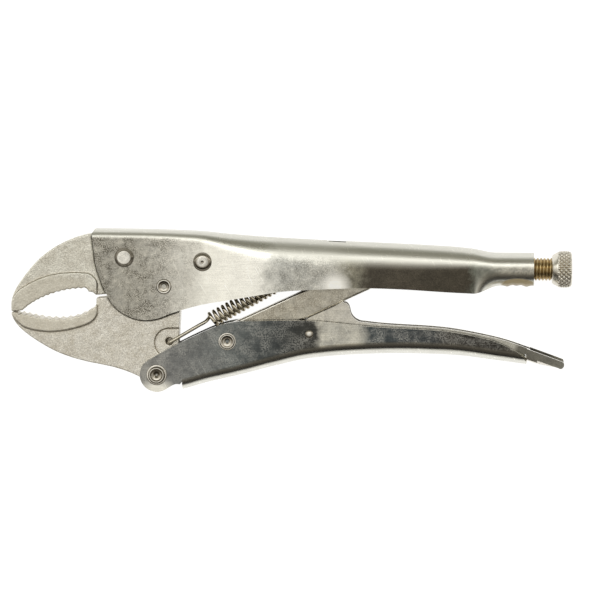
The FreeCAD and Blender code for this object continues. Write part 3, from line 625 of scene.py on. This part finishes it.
def upper_columns():
    """The upper handle's sections: the places of the open ones, those themselves, the closing ones."""
    rim_y = HEAD_EDGE[-1][1]
    planes = list(range(-28, 136, 2))
    columns = [[(upper_front(y), y, z) for y, z in both_halves(half_section(UPPER, -31.5, 1))]]
    columns += [[(x, y, z) for y, z in both_halves(half_section(UPPER, x, 1))] for x in planes]
    closing = []
    x = CLOSING[0]
    while x < TUBE_END + 1e-6:
        part = half_section(UPPER, x, 1)
        shoulder, half = part[0]
        wall = [(rim_y + (shoulder - rim_y) * i / WALL_ROWS, half) for i in range(WALL_ROWS)]
        part = wall + part
        lengths = [0.0]
        for low, high in zip(part, part[1:]):
            lengths.append(lengths[-1] + math.dist(low, high))
        blend = min(1.0, (x - CLOSING[0]) / (CLOSING[1] - CLOSING[0]))
        blend = blend * blend * (3 - 2 * blend)
        column = []
        for (y, z), length in zip(part, lengths):
            turn = (1 - length / lengths[-1]) * (math.pi - TUBE_GAP)
            radius = TUBE_RADIUS + tube_bulge(x, turn)
            tube = (SCREW_Y + radius * math.cos(turn), radius * math.sin(turn))
            column.append((x, y + (tube[0] - y) * blend, z + (tube[1] - z) * blend))
        closing.append(column + [(x, y, -z) for x, y, z in reversed(column[:-1])])
        x += CLOSING_STEP
    return planes, columns, closing


# The spring's tab, bent in from a window in the crown.
TAB = [(68.5, 19.8), (72.0, 19.9), (74.8, 16.6), (77.0, 12.9), (75.2, 11.9), (73.2, 14.9),
       (71.0, 17.4), (68.5, 17.9)]
TAB_HALF = 2.3
WINDOW = ((71.5, 16.0, -2.5), (80.0, 24.0, 2.5))


def make_upper_handle(material):
    """The pressed channel whose rear end closes into the screw's tube."""
    planes, columns, closing = upper_columns()
    first = closing[0]
    wall = first[:WALL_ROWS + 1]
    outline = [(p.x, p.y) for p in curve_through(HEAD_EDGE)]
    outline[0] = columns[0][0][:2]
    outline[-1] = wall[0][:2]
    outline += [p[:2] for p in wall[1:]]
    outline += [column[0][:2] for column in reversed(columns[1:])]
    open_part = columns + [first[WALL_ROWS:len(first) - WALL_ROWS]]
    piece = pressed_sheet("upper_handle_sheet", (open_part, closing), outline, planes, UPPER)
    cutter = block("window_cutter", *WINDOW)
    modify(piece, "BOOLEAN", operation="DIFFERENCE", solver="EXACT", object=cutter)
    settle(piece)
    bpy.data.objects.remove(cutter)
    join(piece, extruded("spring_tab", TAB, TAB_HALF))
    smooth_faces(piece, UPPER_BEVEL, SHEET_CREASE)
    settle(piece)
    return belong(piece, material, "handle_nickel", "frame", "upper_handle")


def pressed_sheet(name, skins, outline, planes, table):
    """A handle, from the skins between its sections and the outline of its two flat sides."""
    work = bmesh.new()
    for columns in skins:
        spots = [[work.verts.new(at(*point)) for point in column] for column in columns]
        for low, high in zip(spots, spots[1:]):
            for r in range(len(low) - 1):
                work.faces.new((low[r], high[r], high[r + 1], low[r + 1]))
    for sign in (1, -1):
        side_panel(work, outline, planes, table, sign)
    return thicken(name, work)


def thicken(name, work):
    """A piece from the outer skin of a sheet, as thick as the sheet is."""
    bmesh.ops.remove_doubles(work, verts=work.verts, dist=8e-6)
    bmesh.ops.dissolve_degenerate(work, dist=5e-6, edges=work.edges)
    bmesh.ops.recalc_face_normals(work, faces=work.faces)
    mesh = bpy.data.meshes.new(name)
    work.to_mesh(mesh)
    work.free()
    piece = bpy.data.objects.new(name, mesh)
    bpy.context.scene.collection.objects.link(piece)
    top = max(mesh.polygons, key=lambda face: face.center.z)
    if top.normal.z < 0:
        mesh.flip_normals()
    modify(piece, "SOLIDIFY", thickness=SHEET * MM, offset=-1.0, use_even_offset=True)
    settle(piece)
    return piece


def block(name, low, high):
    """A box, from two of its corners."""
    points = [(x, y, z) for x in (low[0], high[0]) for y in (low[1], high[1]) for z in (low[2], high[2])]
    faces = [(0, 1, 3, 2), (4, 6, 7, 5), (0, 4, 5, 1), (2, 3, 7, 6), (0, 2, 6, 4), (1, 5, 7, 3)]
    return mesh_piece(name, points, faces)


def extruded(name, outline, half):
    """A piece as wide on both sides of the middle plane, from its outline."""
    count = len(outline)
    points = [(x, y, -half) for x, y in outline] + [(x, y, half) for x, y in outline]
    faces = [tuple(reversed(range(count))), tuple(range(count, 2 * count))]
    faces += [(i, (i + 1) % count, count + (i + 1) % count, count + i) for i in range(count)]
    piece = mesh_piece(name, points, faces)
    outward(piece)
    return piece


def join(piece, other):
    """Moves the other piece's mesh into the first one's."""
    work = bmesh.new()
    work.from_mesh(piece.data)
    work.from_mesh(other.data)
    work.to_mesh(piece.data)
    work.free()
    bpy.data.objects.remove(other)


LOWER = [
    (3.0, -46.4, 7.1, 5.0, 5.5), (20.0, -42.4, 7.1, 5.0, 5.5), (34.0, -39.1, 7.2, 5.0, 5.5),
    (48.0, -35.4, 7.4, 5.2, 5.8), (65.0, -31.7, 7.7, 5.6, 6.0), (85.0, -30.0, 7.9, 6.0, 6.2),
    (104.0, -29.4, 8.0, 6.2, 6.4), (125.0, -29.9, 8.0, 6.2, 6.4), (150.0, -32.7, 7.8, 5.8, 6.0),
    (161.0, -33.9, 7.6, 5.6, 5.8),
]
LOWER_START = 7.9
LOWER_END = 159.6
LOWER_TAIL = [153.0, 154.0, 155.0, 156.0, 156.8, 157.5, 158.1, 158.6, 159.0, LOWER_END]
LOWER_NOTCH = -42.2           # the top of the notch in front of the crown
LOWER_BEVEL = 0.35
SIDE_LOWEST = 0.25            # where the flat sides get lower than this, they end
EAR = 7.5
EAR_TURNS = (258, 240, 222, 204, 186, 168, 150, 135)

# The rim of its sides, from the ears to the end.
LOWER_RIM = [(-4.6, -31.3, 0), (-1.5, -29.4, 0), (2.0, -27.5, 0), (6.3, -25.3, 0),
             (14.2, -21.4, 0), (24.0, -17.2, 0), (31.9, -15.4, 0), (42.4, -15.0, 0),
             (60.5, -14.7, 0), (71.7, -15.3, 0), (92.0, -17.3, 0), (104.0, -17.9, 0),
             (124.7, -19.2, 0), (137.3, -21.4, 0), (145.7, -23.6, 0), (152.0, -26.3, 0),
             (156.0, -28.6, 0), (158.5, -31.0, 0), (159.2, -32.8, 0)]
# The lower edge of its sides, from the notch to the ears.
LOWER_FRONT = [(6.9, -43.3, 0), (5.1, -43.2, 0), (2.8, -44.2, 0), (0.4, -45.7, 0),
               (-1.2, -46.4, 0), (-3.2, -46.8, 0)]


def make_lower_handle(material):
    """The pressed channel, open upwards, whose ears straddle the lower jaw."""
    rim = curve_through(LOWER_RIM)
    planes = [LOWER_START] + list(range(10, 154, 2))

    def shoulder(x):
        crown, _, _, deep = station(LOWER, x)
        return crown + deep

    panel_end = max(x for x in planes if height_on(rim, x) - shoulder(x) > SIDE_LOWEST)
    inner = [x for x in planes if x <= panel_end]
    rear = sorted(x for x in planes + LOWER_TAIL if x > panel_end)
    columns = [[(x, y, z) for y, z in both_halves(half_section(LOWER, x, -1, height_on(rim, x)))]
               for x in inner + rear]
    outline = [(p.x, p.y) for p in rim if p.x < panel_end]
    outline += [(panel_end, height_on(rim, panel_end)), (rear[0], columns[len(inner)][0][1])]
    outline += [(x, shoulder(x)) for x in reversed(inner)]
    ear = [(*on_circle(EAR, turn, HINGE), 0) for turn in EAR_TURNS]
    front = curve_through(LOWER_FRONT + ear + LOWER_RIM[:1])
    outline += [(LOWER_START, LOWER_NOTCH)] + [(p.x, p.y) for p in front[:-1]]
    cuts = list(range(-10, 8, 2)) + inner
    piece = pressed_sheet("lower_handle_sheet", (columns,), outline, cuts, LOWER)
    smooth_faces(piece, LOWER_BEVEL, SHEET_CREASE)
    settle(piece)
    return belong(piece, material, "lower_handle_nickel", "grip_lever", "lower_handle")


# ---------------------------------------------------------------- castings, link and lever
CAST_VOXEL = 0.28
UNEVEN = ((0.9, 0.045), (0.22, 0.09))     # (how fine, how deep) the hollows of a cast face are
FLAT_FACE = 0.8               # how squarely the flat sides of a jaw look along Z
RUB_DEPTH = 0.55              # the line that the upper handle's edge has rubbed into the jaws
RUB_WIDTH = 0.68
RUB_STEP = 0.15
PLATE_CREASE = 35
LINK_BEVEL = 0.35
LEVER_BEVEL = 0.22

# The lever's nose is bent up, close under the link: what is inside its span, above its floor
# and above its line. A line is a point's x and y, and a slope.
NOSE_RISE = 0.8
NOSE_WAY = (-0.42, 0.91, 0.0)
NOSE_SPAN = (61.0, 79.0)
NOSE_FLOOR = -19.0
NOSE_LINE = (66.5, -14.6, 0.5)
# Its tail is folded with a wide bend: the long edges at its sides and below its line.
TAIL_LINE = (160.0, -31.2, -0.24)
TAIL_SIDE = 7.1
TAIL_EDGE = 2.0
TAIL_BEVEL = 1.6


def copy_of(node, name):
    """A piece that starts as a copy of a CAD node."""
    mesh = frame["nodes"][node].data.copy()
    piece = bpy.data.objects.new(name, mesh)
    piece.matrix_world = frame["nodes"][node].matrix_world
    bpy.context.scene.collection.objects.link(piece)
    return piece


def make_casting(node, material, slot, body):
    """A jaw as it comes out of the mould: every edge soft, every face slightly uneven."""
    piece = copy_of(node, node + "_casting")
    outward(piece)
    modify(piece, "REMESH", mode="VOXEL", voxel_size=CAST_VOXEL * MM)
    modify(piece, "SMOOTH", factor=0.5, iterations=3)
    settle(piece)
    line = curve_through(HEAD_EDGE, RUB_STEP)
    rubbed = kdtree.KDTree(len(line))
    for i, point in enumerate(line):
        rubbed.insert(point, i)
    rubbed.balance()
    uneven = []
    for vertex in piece.data.vertices:
        spot = vertex.co / MM
        sunk = abs(sum(noise.noise(spot * fine) * deep for fine, deep in UNEVEN))
        if abs(vertex.normal.z) > FLAT_FACE:
            flat = (vertex.co - PIVOT) / MM
            away = rubbed.find((flat.x, flat.y, 0.0))[2]
            sunk += RUB_DEPTH * math.exp(-(away / RUB_WIDTH) ** 2)
        uneven.extend(vertex.co - vertex.normal * (sunk * MM))
    piece.data.vertices.foreach_set("co", uneven)
    piece.data.update()
    smooth_faces(piece)
    return belong(piece, material, slot, body, node)


def merge_flat(piece):
    """Joins the triangles of each flat face."""
    work = bmesh.new()
    work.from_mesh(piece.data)
    bmesh.ops.dissolve_limit(work, angle_limit=math.radians(0.6), verts=work.verts, edges=work.edges)
    work.to_mesh(piece.data)
    work.free()


def above(spot, line):
    """How far a point is above a line."""
    x, y, slope = line
    return spot.y - (y + (spot.x - x) * slope)


def make_lever(material):
    """The release lever: its nose close under the link, its tail folded with a wide bend."""
    piece = copy_of("release_lever", "release_lever_fold")
    outward(piece)
    merge_flat(piece)
    bend = Vector(NOSE_WAY) * (NOSE_RISE * MM)
    for vertex in piece.data.vertices:
        spot = (vertex.co - PIVOT) / MM
        if NOSE_SPAN[0] < spot.x < NOSE_SPAN[1] and spot.y > NOSE_FLOOR and above(spot, NOSE_LINE) > 0:
            vertex.co += bend
    weights = piece.data.attributes.new("bevel_weight_edge", "FLOAT", "EDGE")
    for edge in piece.data.edges:
        ends = [(piece.data.vertices[i].co - PIVOT) / MM for i in edge.vertices]
        middle = (ends[0] + ends[1]) / 2
        low = middle.x > TAIL_LINE[0] and above(middle, TAIL_LINE) < 0
        if low and min(abs(end.z) for end in ends) > TAIL_SIDE and (ends[0] - ends[1]).length > TAIL_EDGE:
            weights.data[edge.index].value = 1.0
    modify(piece, "BEVEL", width=TAIL_BEVEL * MM, segments=8, limit_method="WEIGHT", use_clamp_overlap=False)
    settle(piece)
    smooth_faces(piece, LEVER_BEVEL, PLATE_CREASE)
    settle(piece)
    return belong(piece, material, "lever_nickel", "release", "release_lever")


def make_link(material):
    """The flat link, stamped, with its edges broken."""
    piece = copy_of("toggle_link", "toggle_link_plate")
    outward(piece)
    merge_flat(piece)
    smooth_faces(piece, LINK_BEVEL, PLATE_CREASE)
    settle(piece)
    return belong(piece, material, "link_nickel", "link", "toggle_link")


# ---------------------------------------------------------------- turned parts
def ring_faces(rings, around):
    """The faces of a solid made of rings of points, with a flat face at each end."""
    faces = [(r * around + i, r * around + (i + 1) % around, (r + 1) * around + (i + 1) % around,
              (r + 1) * around + i) for r in range(rings - 1) for i in range(around)]
    return faces + [tuple(range(around)), tuple(range((rings - 1) * around, rings * around))]


RIVET_AROUND = 64
RIVET_SINK = 0.1              # how far below the face its shank starts
RIVET_BEVEL = 0.12
RIVET_CREASE = 30

# (radius, height above the face), from the middle out
FLAT_HEAD = [(0.05, 1.52), (1.2, 1.56), (2.6, 1.58), (3.0, 1.52), (3.25, 1.3), (3.7, 0.8),
             (4.1, 0.42), (4.25, 0.25), (4.3, 0.0)]
DOME_HEAD = [(0.05, 1.05), (0.3, 1.12), (0.65, 1.4), (1.6, 1.44), (2.4, 1.36), (3.1, 1.08),
             (3.7, 0.58), (4.05, 0.18), (4.2, 0.0)]
JAW_CUP = [(0.05, -0.75), (0.35, -0.6), (0.9, -0.05), (1.5, 0.2), (2.1, 0.3), (2.3, 0.46),
           (2.6, 0.6), (2.95, 0.6), (3.2, 0.42), (3.38, 0.1), (3.4, 0.0)]
HINGE_CUP = [(0.05, -0.3), (0.4, -0.1), (0.9, 0.5), (1.7, 0.85), (2.3, 1.0), (2.55, 1.3),
             (2.85, 1.62), (3.2, 1.62), (3.45, 1.35), (3.6, 0.75), (3.75, 0.35), (4.1, 0.34),
             (4.45, 0.26), (4.6, 0.0)]
LINK_CUP = [(0.05, -0.6), (0.4, -0.4), (0.8, 0.0), (1.5, 0.25), (2.1, 0.35), (2.4, 0.55),
            (2.7, 0.7), (3.0, 0.66), (3.2, 0.42), (3.3, 0.2), (3.5, 0.18), (3.8, 0.14), (3.9, 0.0)]
PIN_HEAD = [(0.05, 0.74), (0.6, 0.7), (1.1, 0.58), (1.5, 0.4), (1.8, 0.15), (1.9, 0.0)]

# node, piece, centre, diameter of the shank, height of the face, head, body
RIVETS = [
    ("fixed_jaw_rivet_front", "front_rivet", (-17.5, 12.8), 6.0, 7.1, FLAT_HEAD, "frame"),
    ("fixed_jaw_rivet_rear", "rear_rivet", (17.1, 11.0), 6.0, 7.25, DOME_HEAD, "frame"),
    ("jaw_pivot_rivet", "jaw_rivet", (0.0, 0.0), 5.8, 7.1, JAW_CUP, "frame"),
    ("handle_pivot_rivet", "hinge_rivet", HINGE, 6.0, 7.1, HINGE_CUP, "grip_lever"),
    ("link_pivot_rivet", "link_rivet", LINK, 5.6, 7.15, LINK_CUP, "grip_lever"),
    ("release_lever_pin", "lever_pin", LEVER, 3.0, 7.6, PIN_HEAD, "grip_lever"),
]


def make_rivet(material, node, name, centre, shank, face, head, body):
    """A rivet or a pin, with the same head on both sides."""
    near = [(r, face + h) for r, h in head] + [(shank / 2, face - RIVET_SINK)]
    rings = near + [(r, -z) for r, z in reversed(near)]
    points = []
    for radius, height in rings:
        for i in range(RIVET_AROUND):
            turn = 2 * math.pi * i / RIVET_AROUND
            points.append((centre[0] + radius * math.cos(turn), centre[1] + radius * math.sin(turn), height))
    piece = mesh_piece(name, points, ring_faces(len(rings), RIVET_AROUND))
    outward(piece)
    smooth_faces(piece, RIVET_BEVEL, RIVET_CREASE)
    settle(piece)
    return belong(piece, material, "rivet_steel", body, node)


def round_screw(x, radius, turn):
    """A point round the screw's axis."""
    return (x, SCREW_Y + radius * math.cos(turn), radius * math.sin(turn))


THREAD_PITCH = 1.5
THREAD_DEPTH = 0.85
THREAD_RADIUS = 5.0
THREAD_AROUND = 48
THREAD_STEPS = 8              # rings of points to each turn of the thread
ROD = (98.4, 170.4)
ROD_NOSE = 3.4                # the length over which its tip narrows
SPINDLE_RADIUS = 3.5
SPINDLE_END = 177.4


def make_screw(material):
    """The threaded rod, one long helical groove, with the spindle that holds the knob."""
    points = []
    count = round((ROD[1] - ROD[0]) / (THREAD_PITCH / THREAD_STEPS))
    for n in range(count + 1):
        x = ROD[0] + (ROD[1] - ROD[0]) * n / count
        nose = min(1.0, math.sqrt(max(0.0, (x - ROD[0]) / ROD_NOSE)) * 0.9 + 0.1)
        for i in range(THREAD_AROUND):
            phase = ((x / THREAD_PITCH) + i / THREAD_AROUND) % 1.0
            tooth = min(1.0, max(0.0, 1.35 - 2.7 * abs(phase - 0.5)))
            radius = (THREAD_RADIUS - THREAD_DEPTH * (1 - tooth)) * nose
            points.append(round_screw(x, radius, 2 * math.pi * i / THREAD_AROUND))
    for x in (ROD[1], SPINDLE_END):
        for i in range(THREAD_AROUND):
            points.append(round_screw(x, SPINDLE_RADIUS, 2 * math.pi * i / THREAD_AROUND))
    piece = mesh_piece("threaded_rod", points, ring_faces(count + 3, THREAD_AROUND))
    outward(piece)
    smooth_faces(piece)
    return belong(piece, material, "screw_thread", "screw", "adjusting_screw")


KNOB = (170.5, 179.3)
KNOB_RADIUS = 8.05
KNURL_COUNT = 24
KNURL_DEPTH = 0.65
KNURL_MARGINS = (2.4, 0.5)    # the collar before the knurl and the chamfer after it
KNURL_ROWS = 44
KNURL_POINTS = 10             # points round the knob to each of its ridges
BARREL = 0.55                 # how much lower the knurl's ends are than its middle


def make_knob(material):
    """The knurled knob: a smooth collar, a diamond knurl and a chamfered end."""
    around = KNURL_COUNT * KNURL_POINTS
    profile = [(KNOB[0], 3.6, 0), (KNOB[0], 5.7, 0), (KNOB[0] + 0.15, 6.1, 0), (KNOB[0] + 0.6, 6.5, 0),
               (KNOB[0] + 1.2, 6.85, 0), (KNOB[0] + 1.7, 7.15, 0), (KNOB[0] + 2.1, 7.4, 0.0)]
    start, end = KNOB[0] + KNURL_MARGINS[0], KNOB[1] - KNURL_MARGINS[1]
    middle, half = (start + end) / 2, (end - start) / 2
    for n in range(KNURL_ROWS + 1):
        x = start + (end - start) * n / KNURL_ROWS
        radius = KNOB_RADIUS - BARREL * abs((x - middle) / half) ** 3.5
        profile.append((x, radius, min(1.0, n / 8, (KNURL_ROWS - n) / 4)))
    profile += [(KNOB[1] - 0.2, 7.1, 0), (KNOB[1], 6.7, 0), (KNOB[1] - 0.05, 5.2, 0),
                (KNOB[1] - 0.35, 5.0, 0), (KNOB[1] - 0.4, 2.0, 0), (KNOB[1] - 0.4, 0.05, 0)]
    points = []
    for x, radius, cut in profile:
        lead = (x - KNOB[0]) / (2 * math.pi * KNOB_RADIUS / KNURL_COUNT)
        for i in range(around):
            ridge = [abs(((i / around * KNURL_COUNT + way * lead) % 1.0) - 0.5) * 2 for way in (1, -1)]
            groove = 1 - min(1.0, 1.5 * min(ridge))
            here = radius - KNURL_DEPTH * cut * groove
            points.append(round_screw(x, here, 2 * math.pi * i / around))
    piece = mesh_piece("knurled_knob", points, ring_faces(len(profile), around))
    outward(piece)
    smooth_faces(piece)
    return belong(piece, material, "knob_nickel", "knob", "adjusting_knob")


# ---------------------------------------------------------------- spring
WIRE = 0.78                   # the radius of the wire
WIRE_AROUND = 12
WIRE_STEP = 0.4
COIL = 2.92                   # the radius to the middle of the wire
COIL_PITCH = 2.22
COIL_START = (20.5, -15.2)
COIL_SLOPE = 28.7
COIL_LENGTH = 54.0
COIL_PHASE = -0.9
COIL_STEPS = 26               # points to each turn
LEG = [(1.9, -25.2, 1.0), (1.9, -25.2, 3.6), (2.2, -25.0, 4.7), (3.4, -24.3, 5.0), (9.0, -21.0, 4.8),
       (15.0, -17.5, 3.9), (18.2, -15.7, 2.2), (19.6, -14.1, 0.4)]
HOOK_LENGTH = 3.4


def sweep(name, path, radius):
    """A round wire along a path of points."""
    points = []
    side = None
    for i, spot in enumerate(path):
        ahead = (path[min(i + 1, len(path) - 1)] - path[max(i - 1, 0)]).normalized()
        if side is None:
            side = ahead.cross(Vector((0.3, 0.5, 0.8))).normalized()
        side = (side - ahead * side.dot(ahead)).normalized()
        other = ahead.cross(side)
        for n in range(WIRE_AROUND):
            turn = 2 * math.pi * n / WIRE_AROUND
            points.append(tuple(spot + (side * math.cos(turn) + other * math.sin(turn)) * radius))
    piece = mesh_piece(name, points, ring_faces(len(path), WIRE_AROUND))
    outward(piece)
    return piece


def make_spring(material):
    """The jaw's return spring: a leg hooked in the lower jaw, and a coil up to the handle's tab."""
    turn = math.radians(COIL_SLOPE)
    ahead = Vector((math.cos(turn), math.sin(turn), 0))
    aside = Vector((-math.sin(turn), math.cos(turn), 0))
    base = Vector((*COIL_START, 0))
    turns = COIL_LENGTH / COIL_PITCH
    steps = round(turns * COIL_STEPS)
    coil = []
    for n in range(steps + 1):
        share = n / steps
        angle = 2 * math.pi * turns * share + COIL_PHASE
        coil.append(base + ahead * (COIL_LENGTH * share) + aside * (COIL * math.cos(angle))
                    + Vector((0, 0, 1)) * (COIL * math.sin(angle)))
    end = base + ahead * COIL_LENGTH
    hook = curve_through([tuple(coil[-1]), tuple(end + ahead * 1.4 + aside * 1.2 + Vector((0, 0, 0.6))),
                          tuple(end + ahead * HOOK_LENGTH)], WIRE_STEP)
    piece = sweep("coil_spring", curve_through(LEG, WIRE_STEP) + coil[2:] + hook[1:], WIRE)
    smooth_faces(piece)
    belong(piece, material, "spring_steel", None, "jaw_spring")
    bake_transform(piece)
    return piece


# ---------------------------------------------------------------- the tool
make_camera()
make_floor()
make_light()
metals = make_materials()
make_upper_handle(metals["handle"])
make_lower_handle(metals["low_handle"])
make_casting("fixed_jaw", metals["fixed_jaw"], "jaw_nickel", "frame")
make_casting("lower_jaw", metals["low_jaw"], "jaw_nickel", "moving_jaw")
make_link(metals["link"])
make_lever(metals["lever"])
for rivet in RIVETS:
    make_rivet(metals["rivet"], *rivet)
make_screw(metals["thread"])
make_knob(metals["knob"])
make_spring(metals["spring"])
